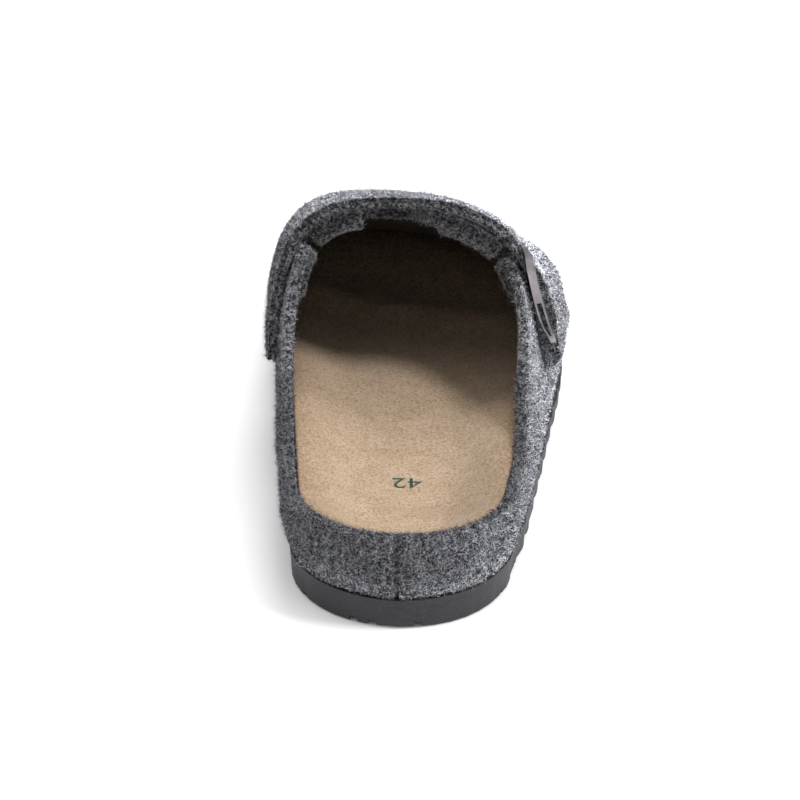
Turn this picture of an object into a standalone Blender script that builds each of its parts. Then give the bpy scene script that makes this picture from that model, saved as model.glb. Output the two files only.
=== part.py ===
"""A felt clog slipper for the right foot: a wrapped moulded footbed, a felt upper, an instep strap with a
metal buckle, and a grooved rubber outsole.

Metres. X points to the wearer's right, Y from heel to toe and Z up. The slipper stands on its sole, and the
origin is the middle of its bounding box, on the floor.
"""

import math
from collections import namedtuple

import bmesh
import bpy
from mathutils import Matrix, Vector

# Footprint, measured over the felt.
LENGTH = 0.283
HEEL_WIDTH = 0.0806
BALL_INNER = 0.0465  # from the heel's centre line to the big-toe side of the ball
BALL_OUTER = 0.0585  # from the heel's centre line to the little-toe side of the ball
HEEL_ROUND = 0.159 * LENGTH  # length of the heel's round back
INNER_BALL_AT = 0.724 * LENGTH  # how far the widest big-toe side lies from the heel's back
OUTER_BALL_AT = 0.689 * LENGTH
TOE_SHIFT = -0.011  # the toe's tip leans to the big-toe side
HEEL_SQUARE = 2.05  # exponents of the round ends: 2 is an ellipse, more is squarer
INNER_TOE_SQUARE = 2.45
OUTER_TOE_SQUARE = 2.05

# Heights above the floor.
INSTEP_HEIGHT = 0.0855  # felt of the upper at the throat
TOE_HEIGHT = 0.0545  # felt above the toes
HEEL_CROWN = 0.0900  # where the heel's walls would meet if they ran on upwards
RIM_HEIGHT = 0.0335  # the collar at the heel
WING_INNER = 0.0720  # the collar where it runs in under the strap, on the big-toe side
WING_OUTER = 0.0685

# Felt upper.
WALL = 0.0042
THROAT = 0.546 * LENGTH  # rear edge of the vamp, from the heel's back
TUCK_SIDE = 0.0036  # the wall draws in towards the sole, at the heel's sides
TUCK_BALL = 0.0012  # at the ball
TUCK_END = 0.0014  # and at the heel's back
TUCK_HEIGHT = 0.017
TUCK_EASES_AT = 0.50 * LENGTH  # where the heel's tuck starts to give way to the ball's
TUCK_EASES_OVER = 0.20 * LENGTH
SLIT_WIDTH = 0.0045  # cut between each wing and the vamp, under the strap
SLIT_LENGTH = 0.0290
NOTCH_WIDTH = 0.0245  # cut in the middle of the vamp's rear edge
NOTCH_LENGTH = 0.0200
NOTCH_MOST = 0.4  # of a rib's top may be notch
TOE_LINE = 0.62  # the wing's line runs on to this share of the height at the toe
SIDE_ROWS = 8
TOP_ROWS = 7
ROW_SPACE = 0.0025  # a row this near to a cut's end is left out

# Outsole.
SOLE_HEEL = 0.0108  # thickness under the heel
SOLE_BALL = 0.0092
SOLE_TOE = 0.0085
HEEL_THINS_AT = 0.25 * LENGTH  # where the heel's thickness starts to go over to the ball's
BALL_THINS_AT = 0.65 * LENGTH  # and the ball's to the toe's
THINS_OVER = 0.35 * LENGTH
TOE_SPRING = 0.0085
SPRING_FROM = 0.707 * LENGTH
SPRING_CURVE = 1.8
HEEL_LIFT = 0.0012  # the worn-in round under the heel's back edge
HEEL_LIFT_LENGTH = 0.010
SOLE_LIP = 0.0007  # how far the sole's top band stands out past the foot of the felt
LIP_HEIGHT = 0.0022
LIP_STEP = 0.0004
SOLE_DRAFT = 0.0003  # the side leans in towards the floor
SOLE_ROUND = 0.0009  # rounding of the bottom edge
UNDER_RINGS = (1.0, 0.65, 0.3, 0.0)  # rings under the sole, as shares of the way to the middle line

# Tread.
GROOVE_WIDTH = 0.0026
GROOVE_DEPTH = 0.0017
GROOVE_PITCH = 0.0232
GROOVE_FROM = 0.0255
WAVE_HEIGHT = 0.0040
WAVE_LENGTH = 0.0280
HEEL_GROOVES = (-0.0165, -0.0098, 0.0062)  # where the short grooves cut the heel's back edge
TOE_GROOVES = (-0.0290, -0.0120, 0.0060)
END_GROOVE_LENGTH = 0.0160
END_GROOVE_LEAN = 0.9
GROOVE_PAST = 0.012  # how far the cross grooves run out past the ball's edge
GROOVE_SHORT = 0.022  # the last cross groove stays this far from the toe's tip
HEEL_GROOVE_PAST = 0.010
TOE_GROOVE_PAST = 0.030
GROOVE_BELOW = 0.004  # how far the cut reaches below the sole

# Moulded footbed.
BED_HEIGHT = 0.0205  # foot surface in the heel cup
BED_EDGE_DROP = 0.0012  # the footbed stops this far below the felt rim
RIDGE_HEIGHT = 0.0030  # toe grip
RIDGE_LENGTH = 0.0080
RIDGE_AT_INNER = 0.816 * LENGTH
RIDGE_AT_OUTER = 0.717 * LENGTH
PAD_HEIGHT = 0.0022  # low dome behind the ball of the foot
PAD_AT = 0.565 * LENGTH
PAD_REACH = 0.022
PAD_STRETCH = 0.8  # less than 1 makes the dome longer than wide
CUP_SHARE = 0.72  # share of the way to the middle line over which the cup's side falls
CUP_CURVE = 1.25
RIDGE_FADE = 0.25  # share over which the toe grip rises from the edge
SIDE_RINGS = (0.0, 0.5, 1.0)
TOP_RINGS = (0.08, 0.18, 0.30, 0.44, 0.60, 0.80, 1.0)

# Instep strap and buckle.
STRAP_FROM = THROAT - 0.0015
STRAP_WIDTH = 0.0360
STRAP_SKEW = 0.0120  # its two ends sit this far further back than its middle
STRAP_THICK = 0.0042  # two plies over the instep
STRAP_THIN = 0.0037  # at its ends
STRAP_TAPER = 0.30  # share of the strap over which it thickens from each end
STRAP_BOW = 0.0003  # the strap stands off the vamp over the instep
STRAP_FOOT = 0.0325  # height of its sewn end on the big-toe side
STRAP_TAIL = 0.0315  # height of its sewn end on the little-toe side
STRAP_CELLS = 56
BUCKLE_TOP = 0.0668  # heights of the felt under the buckle's two ends
BUCKLE_BOTTOM = 0.0385
BUCKLE_MARGIN = 0.0005  # free play between the strap's edge and a side wall
BUCKLE_CORNER = 0.0030
WINDOW_CORNER = 0.0008
END_DEPTH = 0.0011  # depth of the frame over the strap
END_BAR = 0.0030  # widths of the frame over the strap and beside it
SIDE_WALL = 0.0018
SLOT_SHARE = 0.45  # of a side wall's length, at its lower end, is slotted
SLOT_END = 0.78  # where the slots close: 1 is the buckle's lower end
SLOT_RAIL = 0.0007
SLOT_SPANS = 5  # straight pieces along a slot, and as many above it
CORNER_STEPS = 4
END_SPANS = 4
STRAP_SWELL = 0.0024  # the strap swells out through the frame
SWELL_END = 0.74  # the swell ends short of the frame's two ends
STRAP_DIP = 0.0017  # the strap is pressed in under the frame's upper end
DIP_AT = 0.92
DIP_REACH = 0.24
BAR_RADIUS = 0.0008
BAR_ABOVE = 0.10  # share of the buckle between the slots and the bar
BAR_HUMP = 0.0048  # half length of the rise that the bar makes in the strap

GAP = 0.0003  # between pieces that touch
EPSILON = 1e-6
BED_GAP = 0.0006  # round the footbed's side
SIDE_STATIONS = 7
FAN_RIBS = 12
FINE = 96  # samples along a girth
SHARP = 35  # degrees, above which an edge looks sharp

# How far each flank has widened from the heel's half width to the ball's, by share of the length.
Flank = namedtuple("Flank", "along inner outer")
FLANKS = (
    Flank(0.159, 0.00, 0.00),
    Flank(0.205, 0.10, 0.17),
    Flank(0.283, 0.27, 0.35),
    Flank(0.353, 0.40, 0.48),
    Flank(0.430, 0.52, 0.64),
    Flank(0.527, 0.66, 0.81),
    Flank(0.600, 0.75, 0.91),
    Flank(0.690, 0.93, 1.00),
    Flank(0.724, 1.00, 1.00),
)

# The last's ridge line. crest runs from the toe height, 0, to the instep height, 1. shift is a share of the
# ball's width, minus towards the big toe. square_in and square_out are the flanks' exponents. lean_in and
# lean_out draw the middle of a flank in, by a share of the way to the ridge.
Section = namedtuple("Section", "along crest shift square_in square_out lean_in lean_out")
SECTIONS = (
    Section(0.150, 1.00, 0.000, 2.30, 2.30, 0.000, 0.006),
    Section(0.250, 1.00, 0.000, 2.50, 2.50, 0.006, 0.075),
    Section(0.350, 1.00, 0.000, 2.90, 2.60, 0.012, 0.121),
    Section(0.500, 1.00, -0.005, 3.70, 3.10, 0.012, 0.115),
    Section(0.550, 0.98, -0.030, 3.50, 2.45, 0.017, 0.075),
    Section(0.620, 0.74, -0.095, 3.30, 2.50, 0.014, 0.040),
    Section(0.680, 0.52, -0.120, 3.20, 2.45, 0.009, 0.020),
    Section(0.720, 0.36, -0.120, 2.80, 2.35, 0.000, 0.010),
    Section(0.770, 0.00, -0.110, 2.20, 2.05, 0.000, 0.000),
)

# The collar's height: share of the way from the heel rim, 0, up to the wing, 1.
Collar = namedtuple("Collar", "along rise")
COLLAR = (
    Collar(0.00, 0.00),
    Collar(0.18, -0.02),
    Collar(0.29, 0.05),
    Collar(0.38, 0.20),
    Collar(0.46, 0.50),
    Collar(0.51, 0.78),
    Collar(0.546, 1.00),
)

# The footbed's surface, as shares of the rim's height: along its middle and at its two edges.
Bed = namedtuple("Bed", "along middle inner outer")
BEDS = (
    Bed(0.00, 0.62, 0.96, 0.96),
    Bed(0.15, 0.61, 0.96, 0.96),
    Bed(0.30, 0.64, 0.97, 0.95),
    Bed(0.42, 0.68, 0.98, 0.88),
    Bed(0.55, 0.62, 0.84, 0.76),
    Bed(0.70, 0.53, 0.66, 0.66),
    Bed(0.80, 0.54, 0.66, 0.68),
    Bed(1.00, 0.66, 0.78, 0.78),
)

# The buckle's side walls, from its upper end, -1, to its lower end, 1: how far the outer edge rises over the
# strap's outer face, and how deep the wall is.
Frame = namedtuple("Frame", "place rise depth")
FRAMES = (
    Frame(-1.00, 0.0003, 0.0015),
    Frame(-0.80, 0.0001, 0.0027),
    Frame(-0.60, -0.0007, 0.0029),
    Frame(-0.20, -0.0010, 0.0029),
    Frame(0.20, 0.0000, 0.0032),
    Frame(0.60, 0.0012, 0.0029),
    Frame(0.80, 0.0019, 0.0020),
    Frame(1.00, 0.0022, 0.0017),
)

# One rib of the last: where it starts on the footprint, which way is out, and where it meets the ridge.
Rib = namedtuple("Rib", "base out ridge along side")

PAINT = {
    "upper": ((0.125, 0.130, 0.142), 0.95, 0.0),
    "instep_strap": ((0.105, 0.110, 0.122), 0.95, 0.0),
    "footbed": ((0.560, 0.410, 0.270), 0.90, 0.0),
    "outsole": ((0.042, 0.043, 0.046), 0.70, 0.0),
    "buckle": ((0.520, 0.500, 0.500), 0.35, 1.0),
}


def smooth(table, column, at):
    """A table's column at a place along the length, on a smooth curve that levels off at both ends."""
    return curve([row.along * LENGTH for row in table], [getattr(row, column) for row in table], at)


def curve(places, values, at):
    """A smooth curve through values at places, level at both ends."""
    if at <= places[0]:
        return values[0]
    if at >= places[-1]:
        return values[-1]
    k = max(i for i, place in enumerate(places) if place <= at)

    def slope(i):
        if i in (0, len(values) - 1):
            return 0.0
        return (values[i + 1] - values[i - 1]) / (places[i + 1] - places[i - 1])

    span = places[k + 1] - places[k]
    t = (at - places[k]) / span
    start, end = slope(k) * span, slope(k + 1) * span
    return (
        values[k] * (2 * t**3 - 3 * t**2 + 1)
        + start * (t**3 - 2 * t**2 + t)
        + values[k + 1] * (3 * t**2 - 2 * t**3)
        + end * (t**3 - t**2)
    )


def ease(t):
    """0 to 1 on a smooth step."""
    t = min(1.0, max(0.0, t))
    return t * t * (3 - 2 * t)


def corner(angle, square):
    """A quarter of a superellipse: across runs from 1 to 0 and up from 0 to 1 as the angle does."""
    across = max(0.0, math.cos(angle)) ** (2 / square)
    up = max(0.0, math.sin(angle)) ** (2 / square)
    return across, up


def flank_x(side, y):
    """The footprint's edge beside a place on the centre line. side is 1 for the little-toe side and -1 for
    the other."""
    ball, ball_at, square = (
        (BALL_OUTER, OUTER_BALL_AT, OUTER_TOE_SQUARE)
        if side > 0
        else (BALL_INNER, INNER_BALL_AT, INNER_TOE_SQUARE)
    )
    if y <= ball_at:
        widened = smooth(FLANKS, "outer" if side > 0 else "inner", y)
        return side * (HEEL_WIDTH / 2 + (ball - HEEL_WIDTH / 2) * widened)
    reach = min(1.0, (y - ball_at) / (LENGTH - ball_at))
    across = (1 - reach**square) ** (1 / square)
    return TOE_SHIFT + (side * ball - TOE_SHIFT) * across


def sole_bottom(y):
    """Height of the tread's plane: flat, with toe spring in front and a little lift at the heel's back."""
    spring = max(0.0, y - SPRING_FROM) / (LENGTH - SPRING_FROM)
    back = max(0.0, HEEL_LIFT_LENGTH - y) / HEEL_LIFT_LENGTH
    return TOE_SPRING * spring**SPRING_CURVE + HEEL_LIFT * back**2


def sole_top(y):
    """Height of the face that the felt and the footbed stand on."""
    to_ball = ease((y - HEEL_THINS_AT) / THINS_OVER)
    to_toe = ease((y - BALL_THINS_AT) / THINS_OVER)
    thick = SOLE_HEEL + (SOLE_BALL - SOLE_HEEL) * to_ball + (SOLE_TOE - SOLE_BALL) * to_toe
    spring = max(0.0, y - SPRING_FROM) / (LENGTH - SPRING_FROM)
    return thick + TOE_SPRING * spring**SPRING_CURVE


def ridge_point(y):
    """Where the last's two flanks meet above a place on the centre line."""
    shift = smooth(SECTIONS, "shift", y) * (BALL_INNER + BALL_OUTER)
    height = TOE_HEIGHT + (INSTEP_HEIGHT - TOE_HEIGHT) * smooth(SECTIONS, "crest", y)
    behind = ease((THROAT - y) / (THROAT - HEEL_ROUND))
    return Vector((shift, y, height + (HEEL_CROWN - height) * behind))


def toe_pole():
    """The place on the centre line from which the ribs of the toe fan out."""
    return SECTIONS[-1].along * LENGTH


def stations():
    """Places along the centre line that have a rib on each side. The strap's edges and the ends of the cuts
    are among them."""
    rear = [HEEL_ROUND + (STRAP_FROM - HEEL_ROUND) * i / SIDE_STATIONS for i in range(SIDE_STATIONS)]
    strap = [STRAP_FROM + STRAP_WIDTH * i / 4 for i in range(5)]
    front = strap[-1]
    fore = [front + (toe_pole() - front) * i / 3 for i in range(1, 4)]
    cuts = [THROAT, THROAT + NOTCH_LENGTH, THROAT + SLIT_LENGTH]
    edges = (strap[0], front)
    kept = [
        y for y in rear + strap + fore
        if y in edges or all(abs(y - cut) > ROW_SPACE for cut in cuts)
    ]
    return sorted(kept + cuts)


def make_ribs():
    """The ribs round the footprint, from the heel's back along the little-toe side to the toe and back."""
    bases = []
    heel_y, pole_y = HEEL_ROUND, toe_pole()
    for side in (1, -1):
        flank = []
        for i in range(FAN_RIBS - 2):
            angle = math.pi / 2 * i / (FAN_RIBS - 2)
            across, up = corner(math.pi / 2 - angle, HEEL_SQUARE)
            flank.append((Vector((side * HEEL_WIDTH / 2 * across, heel_y - HEEL_ROUND * up)), heel_y))
        for y in stations():
            flank.append((Vector((flank_x(side, y), y)), y))
        ball_at = OUTER_BALL_AT if side > 0 else INNER_BALL_AT
        square = OUTER_TOE_SQUARE if side > 0 else INNER_TOE_SQUARE
        start = math.asin(((pole_y - ball_at) / (LENGTH - ball_at)) ** (square / 2))
        ball = BALL_OUTER if side > 0 else -BALL_INNER
        for i in range(1, FAN_RIBS + 1):
            angle = start + (math.pi / 2 - start) * i / FAN_RIBS
            across, up = corner(angle, square)
            point = Vector((TOE_SHIFT + (ball - TOE_SHIFT) * across, ball_at + (LENGTH - ball_at) * up))
            flank.append((point, pole_y))
        bases.append(flank)
    outer, inner = bases
    loop = [(p, y, 1) for p, y in outer] + [(p, y, -1) for p, y in reversed(inner[1:-1])]
    ribs = []
    for i, (point, along, side) in enumerate(loop):
        before, after = loop[i - 1][0], loop[(i + 1) % len(loop)][0]
        run = (after - before).normalized()
        ribs.append(Rib(point, Vector((run.y, -run.x)), ridge_point(along), along, side))
    return ribs


def rib_square(rib):
    return smooth(SECTIONS, "square_out" if rib.side > 0 else "square_in", rib.along)


def rib_across(rib, across, share):
    """Share of the way from the ridge out to the footprint, with the flank's lean."""
    lean = smooth(SECTIONS, "lean_out" if rib.side > 0 else "lean_in", rib.along)
    return across - lean * (4 * share * (1 - share)) ** 2


def tuck(rib):
    """How far the felt draws in at the sole."""
    side = TUCK_SIDE + (TUCK_BALL - TUCK_SIDE) * ease((rib.base.y - TUCK_EASES_AT) / TUCK_EASES_OVER)
    return TUCK_END + (side - TUCK_END) * abs(rib.out.x)


def rib_at(rib, height):
    """The felt's outer face on a rib, at a height above the floor."""
    foot = sole_top(rib.base.y)
    square = rib_square(rib)
    share = min(1.0, max(0.0, (height - foot) / (rib.ridge.z - foot)))
    across = rib_across(rib, (1 - share**square) ** (1 / square), share)
    ground = rib.ridge.xy + (rib.base - rib.ridge.xy) * across
    drawn = tuck(rib) * max(0.0, 1 - (height - foot) / TUCK_HEIGHT) ** 2
    return Vector((ground.x - rib.out.x * drawn, ground.y - rib.out.y * drawn, height))


def inside(rib, height, depth):
    """The same place moved into the shoe, square to the wall's slope, at the same height."""
    step = 0.001
    here, above = rib_at(rib, height), rib_at(rib, height + step)
    lean = math.atan2((above.xy - here.xy).length, step)
    moved = here.xy - rib.out * (depth / math.cos(lean))
    return Vector((moved.x, moved.y, height))


def collar_height(rib):
    """Height of the felt's edge behind the throat, and of the line that carries it on round the vamp."""
    wing = WING_OUTER if rib.side > 0 else WING_INNER
    if rib.along <= THROAT:
        rise = smooth(COLLAR, "rise", rib.base.y)
        return RIM_HEIGHT + (wing - RIM_HEIGHT) * rise
    foot = sole_top(rib.base.y)
    at_throat = (wing - sole_top(THROAT)) / (INSTEP_HEIGHT - sole_top(THROAT))
    share = at_throat + (TOE_LINE - at_throat) * ease((rib.along - THROAT) / (toe_pole() - THROAT))
    return foot + (rib.ridge.z - foot) * share


def top_curve(rib):
    """The rib's points from the wing line to the ridge. The first step is as wide as the slit, the last two
    make half the notch, and the rest are even."""
    foot = sole_top(rib.base.y)
    square = rib_square(rib)
    low = min(1.0, (collar_height(rib) - foot) / (rib.ridge.z - foot))
    start = math.asin(low ** (square / 2))
    fine = []
    for i in range(FINE + 1):
        across, up = corner(start + (math.pi / 2 - start) * i / FINE, square)
        ground = rib.ridge.xy + (rib.base - rib.ridge.xy) * rib_across(rib, across, up)
        fine.append(Vector((ground.x, ground.y, foot + (rib.ridge.z - foot) * up)))
    fine[-1] = rib.ridge.copy()
    total = sum((b - a).length for a, b in zip(fine, fine[1:]))
    slit = min(SLIT_WIDTH, total / TOP_ROWS)
    notch = min(NOTCH_WIDTH / 2, NOTCH_MOST * total)
    middle = total - slit - notch
    wanted = [slit + middle * i / (TOP_ROWS - 3) for i in range(TOP_ROWS - 2)]
    wanted += [total - notch / 2, total]
    return resample(fine, wanted)


def resample(points, distances):
    """The places at these distances along a line of points."""
    found, walked, k = [], 0.0, 0
    for distance in distances:
        while k < len(points) - 2 and walked + (points[k + 1] - points[k]).length < distance:
            walked += (points[k + 1] - points[k]).length
            k += 1
        span = (points[k + 1] - points[k]).length
        share = min(1.0, (distance - walked) / span) if span > 0 else 0.0
        found.append(points[k].lerp(points[k + 1], share))
    return found


def finish_mesh(name, bm, merge=1e-6):
    """Merges the points that meet, turns the faces outwards and puts the mesh in the scene."""
    bmesh.ops.remove_doubles(bm, verts=bm.verts, dist=merge)
    bmesh.ops.dissolve_degenerate(bm, dist=1e-7, edges=bm.edges)
    bmesh.ops.recalc_face_normals(bm, faces=bm.faces)
    mesh = bpy.data.meshes.new(name)
    bm.to_mesh(mesh)
    bm.free()
    obj = bpy.data.objects.new(name, mesh)
    PARTS.objects.link(obj)
    mesh.shade_smooth()
    mesh.set_sharp_from_angle(angle=math.radians(SHARP))
    return obj


def loft_round(name, layers):
    """A closed solid from layers of points that each run once round the footprint. The first and last layers
    lie on the centre line, so their points merge."""
    bm = bmesh.new()
    rings = [[bm.verts.new(p) for p in layer] for layer in layers]
    for low, high in zip(rings, rings[1:]):
        count = len(low)
        for i in range(count):
            k = (i + 1) % count
            bm.faces.new((low[i], low[k], high[k], high[i]))
    return finish_mesh(name, bm)


def make_upper(ribs):
    """The felt upper: a wall all round, closed over the toes, with slits and a notch under the strap."""
    bm = bmesh.new()
    columns = []
    for rib in ribs:
        foot, top = sole_top(rib.base.y) + GAP, collar_height(rib)
        wall = [rib_at(rib, foot + (top - foot) * j / SIDE_ROWS) for j in range(SIDE_ROWS + 1)]
        roof = top_curve(rib) if rib.along >= THROAT - 1e-9 else []
        columns.append([bm.verts.new(p) for p in wall + roof])
    count = len(columns)
    for i in range(count):
        left, right = columns[i], columns[(i + 1) % count]
        between = (ribs[i].along + ribs[(i + 1) % count].along) / 2
        for j in range(min(len(left), len(right)) - 1):
            slit = j == SIDE_ROWS and between < THROAT + SLIT_LENGTH
            notch = j >= SIDE_ROWS + TOP_ROWS - 2 and between < THROAT + NOTCH_LENGTH
            if not (slit or notch):
                bm.faces.new((left[j], right[j], right[j + 1], left[j + 1]))
    bmesh.ops.delete(bm, geom=[v for v in bm.verts if not v.link_faces], context="VERTS")
    upper = finish_mesh("upper", bm)
    wall = upper.modifiers.new("felt", "SOLIDIFY")
    wall.thickness = WALL
    wall.offset = -1.0
    wall.use_even_offset = True
    return upper


def make_outsole(ribs):
    """The rubber sole: a lip, a small step, a drafted side with a round bottom edge, then grooves."""

    def edge(rib, spread, height):
        place = rib.base + rib.out * (spread - tuck(rib))
        return Vector((place.x, place.y, height))

    def across(rib, share, level):
        place = edge(rib, level_spread[level], 0).xy.lerp(rib.ridge.xy, share)
        height = sole_bottom(place.y) if level == "bottom" else sole_top(place.y)
        return Vector((place.x, place.y, height))

    level_spread = {"bottom": SOLE_LIP - LIP_STEP - SOLE_DRAFT - SOLE_ROUND, "top": SOLE_LIP}
    middle = SOLE_LIP - LIP_STEP
    layers = [[across(rib, share, "bottom") for rib in ribs] for share in UNDER_RINGS]
    layers.append([edge(r, middle - SOLE_DRAFT, sole_bottom(r.base.y) + SOLE_ROUND) for r in ribs])
    layers.append([edge(r, middle, sole_top(r.base.y) - LIP_HEIGHT - LIP_STEP) for r in ribs])
    layers.append([edge(r, SOLE_LIP, sole_top(r.base.y) - LIP_HEIGHT) for r in ribs])
    layers += [[across(rib, share, "top") for rib in ribs] for share in (0.0, 0.5, 1.0)]
    sole = loft_round("outsole", layers)
    for name, lines in (("cross", cross_grooves()), ("end", end_grooves())):
        cutter = make_cutter(name + "_grooves", lines)
        cut = sole.modifiers.new(name, "BOOLEAN")
        cut.object = cutter
        cut.operation = "DIFFERENCE"
        cut.solver = "EXACT"
    return sole


def cross_grooves():
    """Wavy lines across the tread, from past one edge to past the other."""
    reach = BALL_OUTER + GROOVE_PAST
    half_waves = int(2 * reach / (WAVE_LENGTH / 2)) + 1
    lines = []
    count = int((LENGTH - GROOVE_SHORT - GROOVE_FROM) / GROOVE_PITCH) + 1
    for g in range(count):
        y = GROOVE_FROM + GROOVE_PITCH * g
        turn = 1 if g % 2 else -1
        line = []
        for i in range(half_waves + 1):
            x = -reach + 2 * reach * i / half_waves
            line.append(Vector((x, y + turn * WAVE_HEIGHT / 2 * (1 if i % 2 else -1))))
        lines.append(line)
    return lines


def end_grooves():
    """Short lines that run in from the heel's back and from the toe."""
    front = LENGTH - END_GROOVE_LENGTH
    lines = []
    for x in HEEL_GROOVES:
        lines.append([Vector((x, -HEEL_GROOVE_PAST)), Vector((x * END_GROOVE_LEAN, END_GROOVE_LENGTH))])
    for x in TOE_GROOVES:
        lines.append([Vector((x, front)), Vector((x, front + TOE_GROOVE_PAST))])
    return lines


def make_cutter(name, lines):
    """Ribbons as wide as a groove, from under the sole up to the groove's floor."""
    bm = bmesh.new()
    for line in lines:
        sections = []
        for i, point in enumerate(line):
            before, after = line[max(0, i - 1)], line[min(len(line) - 1, i + 1)]
            run = (after - before).normalized()
            side = Vector((-run.y, run.x)) * (GROOVE_WIDTH / 2)
            place = min(LENGTH, max(0.0, point.y))
            floor = sole_bottom(place) + GROOVE_DEPTH
            corners = [(side, -GROOVE_BELOW), (-side, -GROOVE_BELOW), (-side, floor), (side, floor)]
            sections.append([bm.verts.new((point.x + s.x, point.y + s.y, z)) for s, z in corners])
        for a, b in zip(sections, sections[1:]):
            for k in range(4):
                n = (k + 1) % 4
                bm.faces.new((a[k], a[n], b[n], b[k]))
        bm.faces.new(sections[0])
        bm.faces.new(reversed(sections[-1]))
    return keep_as_cutter(finish_mesh(name, bm))


def bed_edge(rib):
    """Height of the footbed's edge on a rib."""
    share = smooth(BEDS, "outer" if rib.side > 0 else "inner", rib.base.y)
    return min(RIM_HEIGHT * share, collar_height(rib) - BED_EDGE_DROP)


def bed_height(rib, place, share):
    """Height of the foot surface, a share of the way in from the edge: cup, arch, toe grip and ball pad."""
    middle = smooth(BEDS, "middle", place.y) * RIM_HEIGHT + (BED_HEIGHT - BEDS[0].middle * RIM_HEIGHT)
    edge = bed_edge(rib)
    height = middle + (edge - middle) * (1 - ease(share / CUP_SHARE)) ** CUP_CURVE
    across = (place.x + BALL_INNER) / (BALL_INNER + BALL_OUTER)
    ridge_at = RIDGE_AT_INNER + (RIDGE_AT_OUTER - RIDGE_AT_INNER) * ease(across)
    ridge = RIDGE_HEIGHT * math.exp(-(((place.y - ridge_at) / RIDGE_LENGTH) ** 2))
    height += ridge * ease(share / RIDGE_FADE)
    off = math.hypot(place.x, (place.y - PAD_AT) * PAD_STRETCH) / PAD_REACH
    return height + PAD_HEIGHT * math.exp(-off * off)


def make_footbed(ribs):
    """The moulded footbed: it fills the felt wall from the sole up to its own cupped surface."""
    depth = WALL + BED_GAP
    layers = []
    for share in (1.0, 0.5):
        layers.append([on_sole(rib, share, depth) for rib in ribs])
    for share in SIDE_RINGS:
        ring = []
        for rib in ribs:
            low = sole_top(rib.base.y) + GAP
            ring.append(inside(rib, low + (bed_edge(rib) - low) * share, depth))
        layers.append(ring)
    edges = layers[-1]
    for share in TOP_RINGS:
        ring = []
        for rib, edge in zip(ribs, edges):
            place = edge.xy.lerp(rib.ridge.xy, share)
            ring.append(Vector((place.x, place.y, bed_height(rib, place, share))))
        layers.append(ring)
    return loft_round("footbed", layers)


def on_sole(rib, share, depth):
    """A point of the footbed's underside, a hair above the sole."""
    edge = inside(rib, sole_top(rib.base.y) + GAP, depth)
    place = edge.xy.lerp(rib.ridge.xy, share)
    return Vector((place.x, place.y, sole_top(place.y) + GAP))


def section_rib(side, y):
    """The rib beside a place between the heel's round and the toe's fan."""
    step = 0.002
    run = Vector((flank_x(side, y + step) - flank_x(side, y - step), 2 * step)).normalized()
    out = Vector((run.y, -run.x)) * side
    return Rib(Vector((flank_x(side, y), y)), out, ridge_point(y), y, side)


def girth(y):
    """The felt's outer line across the instep at one place, from the big-toe side's foot to the other's."""
    halves = []
    for side in (-1, 1):
        rib = section_rib(side, y)
        foot, square = sole_top(y), rib_square(rib)
        half = []
        for i in range(FINE + 1):
            up = corner(math.pi / 2 * i / FINE, square)[1]
            half.append(rib_at(rib, foot + (rib.ridge.z - foot) * up))
        half[-1] = rib.ridge.copy()
        halves.append(half)
    return halves[0] + halves[1][-2::-1]


def length_to_height(line, height, side):
    """Distance along a girth at which it passes a height, on one side."""
    walked, crossings = 0.0, []
    for a, b in zip(line, line[1:]):
        if (a.z - height) * (b.z - height) <= 0 and a.z != b.z:
            share = (height - a.z) / (b.z - a.z)
            crossings.append(walked + (b - a).length * share)
        walked += (b - a).length
    return crossings[0] if side < 0 else crossings[-1]


class Strap:
    """Places on the instep strap: share 0 to 1 across the foot from its big-toe end, and y at its middle."""

    def __init__(self):
        self.lines = {}

    def line(self, y):
        key = round(y, 6)
        if key not in self.lines:
            points = girth(y)
            start = length_to_height(points, STRAP_FOOT, -1)
            end = length_to_height(points, STRAP_TAIL, 1)
            self.lines[key] = (points, start, end)
        return self.lines[key]

    def point(self, share, y):
        points, start, end = self.line(y - STRAP_SKEW * (2 * share - 1) ** 2)
        return resample(points, [start + (end - start) * share])[0]

    def reach(self, y):
        start, end = self.line(y)[1:]
        return end - start

    def share_at(self, height, y):
        """The share at which the little-toe side passes a height."""
        low, high = 0.5, 1.0
        for _ in range(40):
            middle = (low + high) / 2
            low, high = (middle, high) if self.point(middle, y).z > height else (low, middle)
        return low

    def lifted(self, share, y, lift):
        """The place raised off the felt, square to it."""
        step, stride = 0.004, 0.003
        along = self.point(min(1, share + step), y) - self.point(max(0, share - step), y)
        forward = self.point(share, y + stride) - self.point(share, y - stride)
        out = along.cross(forward).normalized()
        here = self.point(share, y)
        if out.dot(here - Vector((0, y, INSTEP_HEIGHT / 2))) < 0:
            out = -out
        return here + out * lift


def strip(name, rows, ys, under, over):
    """A solid band on the instep. under and over give the lift of its two faces at a share."""
    bm = bmesh.new()

    def face(lift):
        return [[bm.verts.new(STRAP.lifted(s, y, lift(s))) for y in ys] for s in rows]

    low, high = face(under), face(over)
    last_row, last_y = len(rows) - 1, len(ys) - 1
    for i in range(last_row):
        for j in range(last_y):
            bm.faces.new((high[i][j], high[i + 1][j], high[i + 1][j + 1], high[i][j + 1]))
            bm.faces.new((low[i][j], low[i][j + 1], low[i + 1][j + 1], low[i + 1][j]))
        for j in (0, last_y):
            bm.faces.new((low[i][j], low[i + 1][j], high[i + 1][j], high[i][j]))
    for j in range(last_y):
        for i in (0, last_row):
            bm.faces.new((low[i][j], low[i][j + 1], high[i][j + 1], high[i][j]))
    return finish_mesh(name, bm)


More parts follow.
